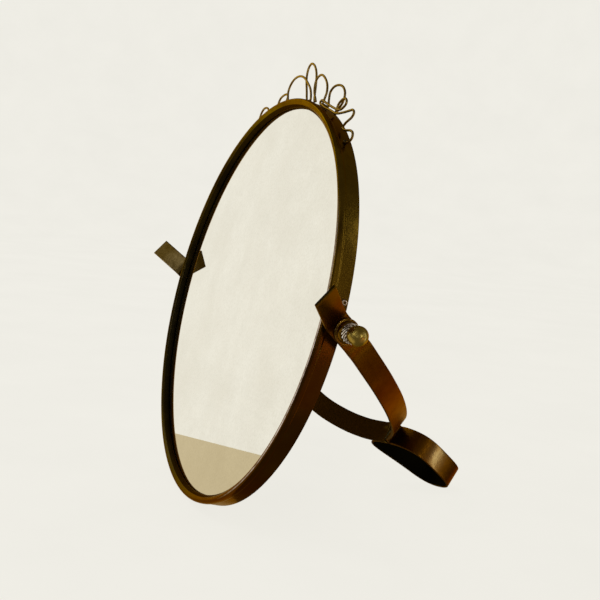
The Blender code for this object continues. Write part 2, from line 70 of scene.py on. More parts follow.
# the strap's width and slope, its arms and its sag are given as (station, value) rows
STRAP_W = ((-16.0, 10.5), (20.0, 10.5), (90.0, 11.0), (124.0, 11.45), (170.0, 11.45))
STRAP_SLOPE = ((-20.0, 31.0), (20.0, 31.0), (116.0, 22.6), (128.0, 26.4))
STRAP_ORIGIN_Z = 6.2
ARM = ((-16.0, 123.4), (-5.0, 113.9), (0.0, 109.7), (3.4, 107.35), (7.0, 107.0), (14.2, 106.9),
       (17.0, 106.2), (24.0, 104.2), (45.0, 93.4), (68.0, 74.8), (93.0, 44.8))
RIGHT_TIP, LEFT_TIP = -14.0, -11.9
NECK_T, NECK_X, NECK_BEND, NECK_IN_DEG = 120.8, 1.3, 1.9, -54.5         # where the two arms meet
LOOP_T, LOOP_PITCH_DEG, LOOP_ROLL_DEG, LOOP_DROP = 122.4, 26.4, -9.75, 0.63
LOOP_HALF_LEN, LOOP_SKEW, LOOP_START_X = 19.9, 2.1, 1.3
LOOP_RIGHT, LOOP_LEFT = (23.1, 0.12, 0.185), (22.0, 0.45, 0.26)    # half width, egg, squareness
LEFT_SAG = ((55.0, 0.0), (65.0, 0.1), (75.0, 1.9), (85.0, 7.5), (95.0, 9.9), (105.0, 9.0), (113.0, 6.2),
            (119.0, 2.2), (122.5, 0.0), (125.0, 0.0))
LEFT_DRAW_IN, LEFT_DRAW_FROM = 10.0, 9.0
WIRE_R, CROWN_Y, CROSSING = 0.55, 7.0, 0.75
CROWN_BASE_R = BAND_R + GAP + WIRE_R
# the crown wire's run: degrees from the top, radius (0 = on the band), in front (-1) or behind (1)
CROWN = ((-31.0, 0, -1), (-30.4, 106.5, -1), (-29.0, 110.8, -1), (-27.0, 111.8, -1), (-24.6, 109.2, -1),
         (-23.2, 104.6, -1), (-22.6, 0, -1),
         (-21.0, 0, 1), (-19.6, 107.0, 1), (-18.4, 110.0, 1), (-16.2, 110.4, 1), (-14.2, 109.5, 1),
         (-13.4, 107.2, 1), (-14.6, 103.6, 1), (-15.0, 0, 1),
         (-10.2, 0, -1), (-10.8, 104.2, -1), (-11.7, 108.7, -1), (-11.0, 112.2, -1), (-9.1, 114.4, -1),
         (-6.2, 114.6, -1), (-2.9, 112.8, -1), (0.7, 109.2, -1), (3.9, 105.5, -1), (6.0, 0, -1),
         (1.6, 0, 1), (-0.7, 105.9, 1), (-3.0, 112.5, 1), (-3.5, 117.8, 1), (-2.3, 120.2, 1),
         (0.0, 118.6, 1), (2.4, 114.5, 1), (4.4, 108.4, 1), (5.8, 103.2, 1), (6.9, 0, 1),
         (9.9, 0, -1), (6.9, 104.6, -1), (5.6, 109.4, -1), (6.4, 112.1, -1), (8.1, 113.1, -1),
         (10.6, 112.1, -1), (13.4, 109.6, -1), (15.0, 106.3, -1), (15.2, 103.0, -1), (15.6, 0, -1),
         (17.4, 0, 1), (16.2, 103.4, 1), (15.2, 106.8, 1), (16.3, 109.9, 1), (18.8, 111.8, 1),
         (21.5, 112.2, 1), (23.8, 110.7, 1), (24.8, 107.5, 1), (24.4, 103.9, 1), (24.2, 0, 0.6),
         (25.4, 102.4, -1), (24.9, 105.6, -1), (25.8, 108.6, -1), (27.3, 110.2, -1), (28.5, 109.6, -1),
         (28.5, 107.5, -1), (27.1, 104.4, -1.4), (23.7, 103.0, -2.6), (19.3, 102.4, -3),
         (16.8, 102.5, -3.3), (16.0, 101.5, -3.5), (16.8, 0, -3.7), (20.4, 0, -3.7), (24.3, 101.6, -3.5),
         (27.8, 102.8, -3), (30.3, 105.7, -2), (32.1, 108.7, -1), (33.5, 110.6, -1), (34.7, 110.4, -1),
         (34.8, 108.1, -1), (33.5, 103.8, -1), (33.4, 101.2, -1), (35.4, 102.2, -1), (37.8, 105.0, -1),
         (39.4, 105.8, -1), (40.4, 104.5, -1), (40.2, 102.0, -1), (39.4, 0, -1))

# ---- sizes for the picture only, in mm -------------------------------------------------------------
AXIS_R = 0.01                                       # where a solid turned piece starts
GLASS_EDGE, FOXED_FROM_R, FOXED_OVER = 0.25, 94.0, 4.0
STRAP_EDGE_R, STRAP_TIP_TAPER = 0.28, 0.25
SEAT_GAP = 0.1                                      # air between pieces on a screw; the CAD leaves more
BORE = SCREW_R + SCREW_PLAY
WASHER_X = SEAT_X + STRAP_T / 2 + SEAT_GAP
COLLAR_X = WASHER_X + WASHER_RISE + SEAT_GAP
COLLAR_TOP_X = COLLAR_X + COLLAR_LEN
TEETH, TOOTH_SLANT, TOOTH_DEPTH = 16, 0.6, 0.44     # fewer, wider teeth than the photo's, so they show
INNER_FACE = 60.0                                   # marks the strap's inner face in its flow attribute

# ---- camera: solved from the rim's outline, the strap and the reflection in the glass ----------
CAMERA_AT = (420.958, -156.072, 16.808)             # in the mirror's frame, mm
CAMERA_RIGHT = (0.390547, 0.880264, 0.269460)
CAMERA_DOWN = (0.131561, 0.236333, -0.962725)
CAMERA_LENS, SENSOR, CAMERA_SHIFT_Y = 55.14, 36.0, 0.0012


# ---- small maths -----------------------------------------------------------------------------
def table(rows, s):
    """Value at station s in (station, value) rows, which holds beyond both ends."""
    if s <= rows[0][0]:
        return rows[0][1]
    for (a, va), (b, vb) in zip(rows, rows[1:]):
        if s <= b:
            return va + (vb - va) * (s - a) / (b - a)
    return rows[-1][1]


def smooth(points, per_span):
    """Catmull-Rom curve through points of any dimension."""
    pts = [Vector(p) for p in points]
    pts = [2 * pts[0] - pts[1]] + pts + [2 * pts[-1] - pts[-2]]
    out = []
    for a, b, c, d in zip(pts, pts[1:], pts[2:], pts[3:]):
        for i in range(per_span):
            t = i / per_span
            out.append(0.5 * (2 * b + (c - a) * t + (2 * a - 5 * b + 4 * c - d) * t * t
                              + (3 * b - a - 3 * c + d) * t ** 3))
    return out + [pts[-2]]


def rounded(points, radius, turns=4):
    """Rounds the corners of a ring of 2D points; gives (point, share of rounding) pairs."""
    out, n = [], len(points)
    for i, p in enumerate(points):
        b = Vector(p)
        a, c = Vector(points[i - 1]), Vector(points[(i + 1) % n])
        r = min(radius, (a - b).length / 2.2, (c - b).length / 2.2)
        start, stop = b + (a - b).normalized() * r, b + (c - b).normalized() * r
        sharp = 1 - max(-1.0, min(1.0, -(a - b).normalized().dot((c - b).normalized())))
        for k in range(turns + 1):
            t = k / turns
            q = (1 - t) ** 2 * start + 2 * t * (1 - t) * b + t * t * stop
            out.append((q, min(1.0, sharp) * math.sin(math.pi * (k + 0.5) / (turns + 1))))
    return out


# ---- materials -------------------------------------------------------------------------------
class Graph:
    """Short way to write a node material."""

    def __init__(self, name):
        self.mat = bpy.data.materials.new(name)
        self.mat.use_nodes = True
        self.nodes = self.mat.node_tree.nodes
        self.links = self.mat.node_tree.links
        self.bsdf = self.nodes["Principled BSDF"]

    def node(self, kind, links=None, **settings):
        n = self.nodes.new(kind)
        for key, value in settings.items():
            setattr(n, key, value)
        for key, source in (links or {}).items():
            self.links.new(source, n.inputs[key])
        return n

    def noise(self, vector, scale, detail=4.0, rough=0.6):
        n = self.node("ShaderNodeTexNoise", {"Vector": vector})
        n.inputs["Scale"].default_value = scale
        n.inputs["Detail"].default_value = detail
        n.inputs["Roughness"].default_value = rough
        return n.outputs["Fac"]

    def ramp(self, fac, stops):
        n = self.node("ShaderNodeValToRGB", {"Fac": fac})
        ends = n.color_ramp.elements
        while len(ends) < len(stops):
            ends.new(0.5)
        for e, (pos, value) in zip(ends, stops):
            e.position = pos
            e.color = (value, value, value, 1) if isinstance(value, (int, float)) else (*value, 1)
        return n.outputs["Color"]

    def maths(self, op, a, b):
        n = self.nodes.new("ShaderNodeMath")
        n.operation = op
        for i, v in enumerate((a, b)):
            if isinstance(v, (int, float)):
                n.inputs[i].default_value = v
            else:
                self.links.new(v, n.inputs[i])
        return n.outputs[0]

    def mix(self, fac, a, b):
        """Mixes two colours; 0, 6 and 7 are the node's factor and colour inputs, 2 its colour output."""
        n = self.nodes.new("ShaderNodeMix")
        n.data_type = "RGBA"
        for key, v in ((0, fac), (6, a), (7, b)):
            if isinstance(v, (int, float)):
                n.inputs[key].default_value = v
            elif isinstance(v, tuple):
                n.inputs[key].default_value = (*v, 1)
            else:
                self.links.new(v, n.inputs[key])
        return n.outputs[2]

    def bump(self, height, strength, distance, normal=None):
        links = {"Height": height}
        if normal:
            links["Normal"] = normal
        n = self.node("ShaderNodeBump", links)
        n.inputs["Strength"].default_value = strength
        n.inputs["Distance"].default_value = distance
        return n.outputs["Normal"]

    def stretched(self, source, scale):
        n = self.node("ShaderNodeMapping", {"Vector": source})
        n.inputs["Scale"].default_value = scale
        return n.outputs["Vector"]

    def wire(self, socket, name):
        self.links.new(socket, self.bsdf.inputs[name])


GRIME_AND_SHADE, GRIME_AND_SHADE_ROUGHNESS = (0.008, 0.007, 0.003), 0.7
BRASS_SHEEN = (0.75, 0.5, 0.2, 1)
DENT_H, LINE_H, HAIR_H, SPECK_H = 0.0012, 0.00006, 0.00003, 0.00005     # bump heights, in metres


def aged_brass(name, deep, mid, bright, rough=(0.26, 0.5), cloud=28.0, brushed=1.0, worn=1.0, dents=0.25,
               tip=None, low=None, inside=None, paleness=0.0, speckled=0.35):
    """Tarnished brass: clouded patina, fine rolling lines along the flow, dark specks, worn edges.

    The "wear" attribute brightens the metal where it is above 0, for worn places and for painted highlights,
    and blackens it where it is below, for painted shade and the rim's dark lip. tip tints the ends; inside
    gives the faces turned inwards a darker tint as painted shade; low darkens the part near the table as
    painted shade, with one colour at the left and one at the right. chalk is how far brightened places stop
    looking like metal.
    """
    g = Graph(name)
    place = g.node("ShaderNodeTexCoord").outputs["Object"]
    flow = g.node("ShaderNodeAttribute", attribute_name="flow").outputs["Vector"]
    wear_and_painted_light = g.node("ShaderNodeAttribute", attribute_name="wear_and_painted_light").outputs["Fac"]
    clouds = g.noise(place, cloud, 6.0, 0.62)
    blotch = g.noise(place, cloud * 5.3, 5.0, 0.7)
    specks = g.noise(place, cloud * 26, 3.0, 0.6)
    lines = g.noise(g.stretched(flow, (0.05, 0.05, 7.0)), 1.0, 3.0, 0.7)
    hairs = g.noise(g.stretched(flow, (0.22, 0.22, 26.0)), 1.0, 2.0, 0.5)
    tone = g.mix(g.ramp(clouds, ((0.34, 0.0), (0.66, 1.0))), deep, mid)
    tone = g.mix(g.ramp(blotch, ((0.42, 0.0), (0.75, 0.55))), tone, deep)
    tone = g.mix(g.maths("MULTIPLY", g.ramp(lines, ((0.3, 0.0), (0.7, 1.0))), 0.28 * brushed), tone, mid)
    tone = g.mix(g.ramp(specks, ((0.62, 0.0), (0.74, speckled))), tone, tuple(0.35 * c for c in deep))
    # Painted shade: the part near the table is darkened, to a dull olive at the left and a red-brown at the right.
    if low:
        at = g.node("ShaderNodeSeparateXYZ", {"Vector": place}).outputs
        near_table_shade = g.ramp(g.maths("MULTIPLY", at["Z"], 5.0), ((0.40, 1.0), (0.72, 0.0)))
        across = g.ramp(g.maths("MULTIPLY", at["X"], 10.0), ((0.05, low[0]), (0.45, low[1])))
        tone = g.mix(g.maths("MULTIPLY", near_table_shade, g.ramp(clouds, ((0.3, 0.95), (0.7, 0.6)))), tone, across)
    # Painted shade: faces turned inwards are tinted a darker olive.
    if inside:
        turned = g.node("ShaderNodeSeparateXYZ", {"Vector": flow}).outputs["Y"]
        inner = g.maths("GREATER_THAN", turned, INNER_FACE / 2)
        tone = g.mix(g.maths("MULTIPLY", inner, 0.75), tone, inside)
    # Brightening where wear is above 0: worn places, and painted highlights.
    rub_and_highlight = g.maths("MULTIPLY", g.maths("MAXIMUM", wear_and_painted_light, 0.0), g.ramp(blotch, ((0.28, 0.15), (0.6, 1.0))))
    tone = g.mix(g.maths("MULTIPLY", rub_and_highlight, 0.8 * worn), tone, bright)
    # Blackening where wear is below 0: painted shade, and the rim's dark lip.
    blackening = g.maths("MAXIMUM", g.maths("MULTIPLY", wear_and_painted_light, -1.0), 0.0)
    grime_and_shade = g.maths("MINIMUM", g.maths("MULTIPLY", blackening, g.ramp(blotch, ((0.25, 1.0), (0.8, 0.75)))), 1.0)
    if tip:
        along = g.node("ShaderNodeSeparateXYZ", {"Vector": flow}).outputs["X"]
        near_end = g.ramp(g.maths("MULTIPLY", along, 0.05), ((0.30, 1.0), (0.62, 0.0)))
        tone = g.mix(g.maths("MULTIPLY", near_end, 0.75), tone, tip)
    tone = g.mix(grime_and_shade, tone, GRIME_AND_SHADE)
    g.wire(tone, "Base Color")
    if paleness:
        g.wire(g.maths("SUBTRACT", 1.0, g.maths("MULTIPLY", rub_and_highlight, paleness)), "Metallic")
    else:
        g.bsdf.inputs["Metallic"].default_value = 1.0
    g.bsdf.inputs["Specular Tint"].default_value = BRASS_SHEEN
    least, most = rough
    dull = g.ramp(g.maths("ADD", g.maths("MULTIPLY", blotch, 0.6), g.maths("MULTIPLY", hairs, 0.4)),
                  ((0.3, least), (0.7, most)))
    polished = g.mix(g.maths("MULTIPLY", rub_and_highlight, 0.6), dull, (least * 0.8,) * 3)
    g.wire(g.mix(g.maths("MULTIPLY", grime_and_shade, 0.8), polished, (GRIME_AND_SHADE_ROUGHNESS,) * 3), "Roughness")
    normal = g.bump(clouds, dents, DENT_H)
    normal = g.bump(lines, 0.16 * brushed, LINE_H, normal)
    normal = g.bump(hairs, 0.20 * brushed, HAIR_H, normal)
    normal = g.bump(specks, 0.22, SPECK_H, normal)
    g.wire(normal, "Normal")
    return g.mat


def mirror_silver():
    """Silvered glass, a little clouded and foxed towards the rim."""
    g = Graph("silvered_glass_look")
    place = g.node("ShaderNodeTexCoord").outputs["Object"]
    wear_and_painted_light = g.node("ShaderNodeAttribute", attribute_name="wear_and_painted_light").outputs["Fac"]
    cloud = g.noise(place, 30.0, 5.0, 0.6)
    grain = g.noise(place, 900.0, 2.0, 0.7)
    tone = g.mix(g.ramp(cloud, ((0.35, 0.0), (0.7, 1.0))), (0.98, 0.975, 0.93), (0.90, 0.885, 0.825))
    haze = g.ramp(g.noise(place, 110.0, 5.0, 0.65), ((0.42, 0.0), (0.7, 0.35)))
    tone = g.mix(haze, tone, (0.86, 0.85, 0.80))
    tone = g.mix(g.ramp(grain, ((0.4, 0.0), (0.68, 0.30))), tone, (0.74, 0.72, 0.65))
    fox = g.maths("MULTIPLY", wear_and_painted_light, g.ramp(g.noise(place, 160.0, 6.0, 0.7), ((0.5, 0.0), (0.62, 1.0))))
    tone = g.mix(g.maths("MULTIPLY", fox, 0.3), tone, (0.42, 0.40, 0.32))
    g.wire(tone, "Base Color")
    g.bsdf.inputs["Metallic"].default_value = 1.0
    g.wire(g.mix(fox, g.ramp(cloud, ((0.3, 0.012), (0.75, 0.03))), (0.35, 0.35, 0.35)), "Roughness")
    g.wire(g.bump(cloud, 0.02, 0.0004), "Normal")
    return g.mat


def fibre_card():
    """Grey-brown board with faint fibres."""
    g = Graph("card_look")
    place = g.node("ShaderNodeTexCoord").outputs["Object"]
    fibres = g.noise(g.stretched(place, (1.0, 1.0, 3.0)), 1500.0, 5.0, 0.7)
    patches = g.noise(place, 60.0, 4.0, 0.6)
    tone = g.mix(g.ramp(fibres, ((0.3, 0.0), (0.7, 1.0))), (0.21, 0.15, 0.09), (0.38, 0.29, 0.19))
    g.wire(g.mix(g.ramp(patches, ((0.45, 0.0), (0.7, 0.4))), tone, (0.16, 0.11, 0.07)), "Base Color")
    g.wire(g.ramp(fibres, ((0.3, 0.8), (0.7, 0.95))), "Roughness")
    g.wire(g.bump(fibres, 0.5, 0.0001), "Normal")
    return g.mat


def solder_look():
    """Dull, lumpy cast metal."""
    g = Graph("solder_look")
    place = g.node("ShaderNodeTexCoord").outputs["Object"]
    lumps = g.noise(place, 700.0, 4.0, 0.6)
    tone = g.mix(g.ramp(lumps, ((0.35, 0.0), (0.65, 1.0))), (0.035, 0.024, 0.006), (0.14, 0.105, 0.035))
    g.wire(tone, "Base Color")
    g.bsdf.inputs["Metallic"].default_value = 1.0
    g.wire(g.ramp(lumps, ((0.3, 0.5), (0.7, 0.3))), "Roughness")
    g.wire(g.bump(lumps, 0.6, 0.0003), "Normal")
    return g.mat


# low darkens the band near the table as painted shade; the pale bright colour, with chalk, makes the painted
# highlight line on the bead and the worn rivet tops.
BAND = aged_brass("band_brass_look", (0.044, 0.025, 0.003), (0.205, 0.132, 0.016), (0.60, 0.51, 0.46),
                  rough=(0.14, 0.32), brushed=1.5, worn=1.2, paleness=0.8,
                  low=((0.058, 0.046, 0.020), (0.080, 0.024, 0.002)))
# inside gives the strip's inner faces a darker tint as painted shade; bright colours its worn edges and its
# painted highlights.
STRAP = aged_brass("strap_brass_look", (0.058, 0.018, 0.001), (0.175, 0.074, 0.003), (0.42, 0.34, 0.17),
                   rough=(0.26, 0.42), worn=0.3, tip=(0.125, 0.078, 0.006), inside=(0.105, 0.074, 0.014),
                   speckled=0.2)
KNOB = aged_brass("knob_brass_look", (0.23, 0.155, 0.016), (0.54, 0.41, 0.095), (0.64, 0.53, 0.22),
                  rough=(0.30, 0.42), cloud=120.0, brushed=0.4, worn=0.5)
# The near-white bright colour, with chalk, is the painted highlight on the crests of the teeth.
KNURL = aged_brass("knurl_brass_look", (0.16, 0.10, 0.06), (0.45, 0.36, 0.24), (1.0, 0.95, 0.88),
                   rough=(0.3, 0.5), cloud=25.0, brushed=0.3, worn=1.3, paleness=0.75)
WASHER = aged_brass("washer_brass_look", (0.080, 0.036, 0.002), (0.27, 0.145, 0.014), (0.45, 0.36, 0.14),
                    rough=(0.2, 0.4), cloud=110.0, brushed=0.5, worn=0.6)
WIRE = aged_brass("wire_brass_look", (0.075, 0.040, 0.004), (0.38, 0.25, 0.06), (0.68, 0.52, 0.22),
                  rough=(0.26, 0.40), cloud=22.0, brushed=0.2, dents=0.08, speckled=0.1)
PLATE = aged_brass("plate_brass_look", (0.16, 0.095, 0.025), (0.40, 0.27, 0.09), (0.70, 0.56, 0.28),
                   rough=(0.32, 0.55), cloud=22.0, worn=0.8)
SILVER = mirror_silver()
SOLDER = solder_look()
CARD = fibre_card()


# ---- meshes ----------------------------------------------------------------------------------
SHARP_FROM_DEG = 50.0


def piece(name, verts, faces, mat, body, node, flow=None, wear_and_painted_light=None):
    """A mesh given in the mirror's frame in mm, which replaces a CAD node."""
    mesh = bpy.data.meshes.new(name)
    mesh.from_pydata([tuple(TO_ROW @ Vector(v)) for v in verts], [], faces)
    mesh.materials.append(mat)
    mesh.shade_smooth()
    mesh.set_sharp_from_angle(angle=math.radians(SHARP_FROM_DEG))
    mesh.attributes.new("flow", "FLOAT_VECTOR", "POINT")
    # wear holds worn places, and also painted highlights and painted shade.
    mesh.attributes.new("wear_and_painted_light", "FLOAT", "POINT")
    mesh.attributes["flow"].data.foreach_set("vector", [c for v in (flow or verts) for c in v])
    mesh.attributes["wear_and_painted_light"].data.foreach_set("value", wear_and_painted_light or [0.0] * len(verts))
    ob = bpy.data.objects.new(name, mesh)
    bpy.context.scene.collection.objects.link(ob)
    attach(ob, body)
    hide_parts(node)
    return ob


def ring_grid(rings, closed_rings=True, closed_along=False, caps=False):
    """Faces of a grid of equal rings laid one after another."""
    n, m = len(rings[0]), len(rings)
    faces = []
    for i in range(m if closed_along else m - 1):
        j = (i + 1) % m
        for k in range(n if closed_rings else n - 1):
            l = (k + 1) % n
            faces.append((i * n + k, i * n + l, j * n + l, j * n + k))
    if caps:
        faces.append(tuple(range(n - 1, -1, -1)))
        faces.append(tuple((m - 1) * n + k for k in range(n)))
    return faces


AXES = {"front": (Vector((1, 0, 0)), Vector((0, 0, 1)), Vector((0, -1, 0))),
        "right": (Vector((0, 1, 0)), Vector((0, 0, 1)), Vector((1, 0, 0))),
        "left": (Vector((0, -1, 0)), Vector((0, 0, 1)), Vector((-1, 0, 0)))}


def lathe(name, profile, steps, mat, body, node, wear_and_light_rows, at=(0, 0, 0), facing="front",
          closed=True, bulge=None):
    """Turned piece: (radius, height) profile spun about the facing axis through a point.

    wears gives the wear value at each profile point, for worn places and for painted highlights and shade, as
    a list or as a function of the angle, height and point number. bulge adds to the radius. closed joins the
    profile's last point to its first.
    """
    u, v, w = AXES[facing] if isinstance(facing, str) else facing
    at = Vector(at)
    verts, flow, wear_and_painted_light, s = [], [], [], [0.0]
    for a, b in zip(profile, profile[1:]):
        s.append(s[-1] + (Vector(b) - Vector(a)).length)
    rings = []
    for i in range(steps):
        t = 2 * math.pi * i / steps
        ring = []
        for k, (r, h) in enumerate(profile):
            rr = r + (bulge(t, r, h, k) if bulge else 0.0)
            p = at + u * (rr * math.cos(t)) + v * (rr * math.sin(t)) + w * h
            ring.append(len(verts))
            verts.append(p)
            flow.append((r * math.cos(t), r * math.sin(t), s[k]))
            wear_and_painted_light.append(wear_and_light_rows(t, h, k) if callable(wear_and_light_rows) else wear_and_light_rows[k])
        rings.append(ring)
    faces = ring_grid(rings, closed_rings=closed, closed_along=True)
    return piece(name, verts, faces, mat, body, node, flow, wear_and_painted_light)


DOME = ((0.9, 0.25), (0.55, 0.75))      # a wire's end: how far past the path and how thick, in wire radii
WIRE_WEAR = 0.35


def tube(name, path, radius, sides, mat, body, node):
    """Round wire along a path of mirror-frame points, with domed ends."""
    first, last = (path[0] - path[1]).normalized(), (path[-1] - path[-2]).normalized()
    stations = [(path[0] + first * radius * past, radius * width) for past, width in DOME]
    stations += [(p, radius) for p in path]
    stations += [(path[-1] + last * radius * past, radius * width) for past, width in reversed(DOME)]
    verts, flow, rings = [], [], []
    side = None
    run = 0.0
    pts = [p for p, _ in stations]
    for i, (p, r) in enumerate(stations):
        tangent = (pts[min(i + 1, len(pts) - 1)] - pts[max(i - 1, 0)]).normalized()
        if side is None:
            side = tangent.orthogonal().normalized()
        side = (side - tangent * side.dot(tangent)).normalized()
        up = tangent.cross(side)
        if i:
            run += (p - pts[i - 1]).length
        ring = []
        for k in range(sides):
            a = 2 * math.pi * k / sides
            ring.append(len(verts))
            verts.append(p + side * (r * math.cos(a)) + up * (r * math.sin(a)))
            flow.append((run, 0.0, 4 * r * math.sin(a)))
        rings.append(ring)
    faces = ring_grid(rings, caps=True)
    return piece(name, verts, faces, mat, body, node, flow, [WIRE_WEAR] * len(verts))


def on_rim(angle_deg, radius, y):
    """Point at an angle clockwise from the top of the rim, seen from the front."""
    a = math.radians(angle_deg)
    return Vector((radius * math.sin(a), y, radius * math.cos(a)))


def dress_cad_node(node, mat):
    """Shows a CAD node as it is, with another material."""
    frame["nodes"][node].data.materials.clear()
    frame["nodes"][node].data.materials.append(mat)


# ---- rim, glass and back -----------------------------------------------------------------------
# CREST_R and CREST_FRONT_Y bound the painted highlight line along the bead's crest.
LIP_FACE_R, CREST_R, CREST_FRONT_Y = 97.0, (98.85, 99.35), 0.5


def rim():
    """Band with a rolled bead and a blackened lip; a painted highlight line runs along the bead's crest on the
    right.
    """
    corners = [(LIP_R, LIP_BACK), (LIP_R, 2.5), (96.25, 1.75), (97.0, 0.95), (97.9, 0.28), (98.7, 0.02),
               (99.4, 0.25), (99.85, 0.85), (RIM_R, 1.7), (RIM_R, 2.9), (BAND_R, 3.5), (BAND_R, RIM_DEPTH),
               (BORE_R, RIM_DEPTH), (BORE_R, LIP_BACK)]
    ring = [p for p, _ in rounded(corners, 0.35, 4)]

    def dark_lip_or_crest_highlight(p):
        # The lip beside the glass is blackened; the bead's crest gets a painted highlight line.
        if p.x < LIP_FACE_R and p.y < LIP_BACK + 0.1:
            return -0.95
        return 1.2 if CREST_R[0] < p.x < CREST_R[1] and p.y < CREST_FRONT_Y else 0.0

    wear_and_painted_light = [dark_lip_or_crest_highlight(p) for p in ring]

    def wear_and_light_rows(t, h, k):
        # The painted highlight line shows only on the right side of the rim.
        on_the_right = max(0.0, min(1.0, 3.2 * (math.cos(t + 0.25) - 0.66)))
        return wear_and_painted_light[k] * (on_the_right if wear_and_painted_light[k] > 0 else 1.0)

    def wobble(t, r, h, k):
        return 0.06 * math.sin(3 * t + 0.7) + 0.03 * math.sin(11 * t) - 0.09

    return lathe("rim", [(p.x, -p.y) for p in ring], 420, BAND, "mirror", "rim_band", wear_and_light_rows,
                 bulge=wobble)


def glass():
    """Round glass with softened edges; its wear runs from 0 well inside to 1 at the edge."""
    front, back = GLASS_Y
    radii = [AXIS_R, 20, 40, 60, 75, 85, 90, 93, 95, 96.5, DISC_R - GLASS_EDGE]
    profile = [(r, -front) for r in radii]
    profile += [(DISC_R, -front - GLASS_EDGE), (DISC_R, -back + GLASS_EDGE)]
    profile += [(r, -back) for r in reversed(radii)]
    wear_and_light_rows = [max(0.0, min(1.0, (r - FOXED_FROM_R) / FOXED_OVER)) for r, _ in profile]
    return lathe("glass", profile, 256, SILVER, "mirror", "mirror_glass", wear_and_light_rows)


rim()
glass()
dress_cad_node("backing_card", CARD)
dress_cad_node("back_plate", PLATE)
for half, mid in (("upper", 0.0), ("lower", 180.0)):
    reach = 90.0 - KEEPER_END_DEG
    path = [on_rim(mid - reach + 2 * reach * i / 160, DISC_R - KEEPER_R, KEEPER_Y) for i in range(161)]
    tube("keeper_%s" % half, path, KEEPER_R, 12, PLATE, "mirror", "keeper_wire_" + half)


# ---- pivots ------------------------------------------------------------------------------------
def bracket(side, sign):
    """Curved block inside the band, which takes the screw's thread."""
    corners = [(BRACKET_R[1], BRACKET_Y[0]), (BRACKET_R[1], BRACKET_Y[1]),
               (BRACKET_R[0], BRACKET_Y[1]), (BRACKET_R[0], BRACKET_Y[0])]
    section = [p for p, _ in rounded(corners, 0.35, 3)]
    mid, half, steps = math.asin(PIVOT_Z / BRACKET_R[1]), math.radians(BRACKET_HALF_DEG), 36
    verts, flow, rings = [], [], []
    for i in range(steps + 1):
        a = mid - half + 2 * half * i / steps
        ring = []
        for r, y in section:
            ring.append(len(verts))
            verts.append((sign * r * math.cos(a), y, r * math.sin(a)))
            flow.append((RIM_R * a, 0.0, r + y))
        rings.append(ring)
    faces = ring_grid(rings, caps=True)
    if sign > 0:
        faces = [f[::-1] for f in faces]
    return piece("bracket_" + side, verts, faces, PLATE, "mirror", "pivot_bracket_" + side,
                 flow)


def on_axis(sign, x):
    """Point on the pivot axis, x out to the right or the left."""
    return (sign * x, PIVOT_Y, PIVOT_Z)


def rivet(side, sign):
    """Small domed rivet that holds the bracket, above the screw."""
    tilt = math.asin((PIVOT_Z + RIVET_OFFSET_Z) / BAND_R)
    out, rear = Vector((sign * math.cos(tilt), 0, math.sin(tilt))), Vector((0, sign, 0))
    dome = [(AXIS_R, GAP + 0.3), (0.35, GAP + 0.34), (0.6, GAP + 0.6), (0.85, GAP + RIVET_HEAD_H - 0.02),
            (1.1, GAP + 0.6), (1.3, GAP + 0.3), (RIVET_HEAD_R, 0.15), (RIVET_HEAD_R - 0.05, -0.05),
            (0.7, -0.05), (0.7, -4.2), (AXIS_R, -4.2)]

    def dent(t, r, h, k):
        return 0.05 * math.sin(2 * t + 1.3) * min(1.0, r)

    lathe("rivet_" + side, dome, 40, BAND, "mirror", "bracket_rivet_" + side,
          [0, 0, 0.2, 1.0, 0.6, 0.1, 0, 0, 0, 0, 0], out * BAND_R + Vector((0, PIVOT_Y, 0)),
          (rear, out.cross(rear), out), closed=False, bulge=dent)


def sleeve(side, sign):
    """Spacer between the rim and the strap."""
    inner, outer = BAND_R + SEAT_GAP, SEAT_X - STRAP_T / 2 - SEAT_GAP
    length = outer - inner
    ring = rounded([(SPACER_R, length), (SPACER_R, 0), (BORE, 0), (BORE, length)], 0.3, 4)
    lathe("spacer_" + side, [tuple(p) for p, _ in ring], 64, KNOB, "mirror", "spacer_sleeve_" + side,
          [w for _, w in ring], on_axis(sign, inner), side)


def washer(side, sign):
    """Flanged washer with a domed boss."""
    ring = rounded([(BOSS_R - 1.1, WASHER_RISE), (BOSS_R - 0.35, WASHER_RISE - 0.5),
                    (BOSS_R, WASHER_RISE - 1.3), (BOSS_R - 0.1, WASHER_T + 0.05),
                    (WASHER_R - 0.5, WASHER_T - 0.05), (WASHER_R, WASHER_T), (WASHER_R, 0.0),
                    (BORE, 0.0), (BORE, WASHER_RISE)], 0.3, 4)
    lathe("washer_" + side, [tuple(p) for p, _ in ring], 96, WASHER, "washer_" + side,
          "cup_washer_" + side, [w for _, w in ring], on_axis(sign, WASHER_X), side)


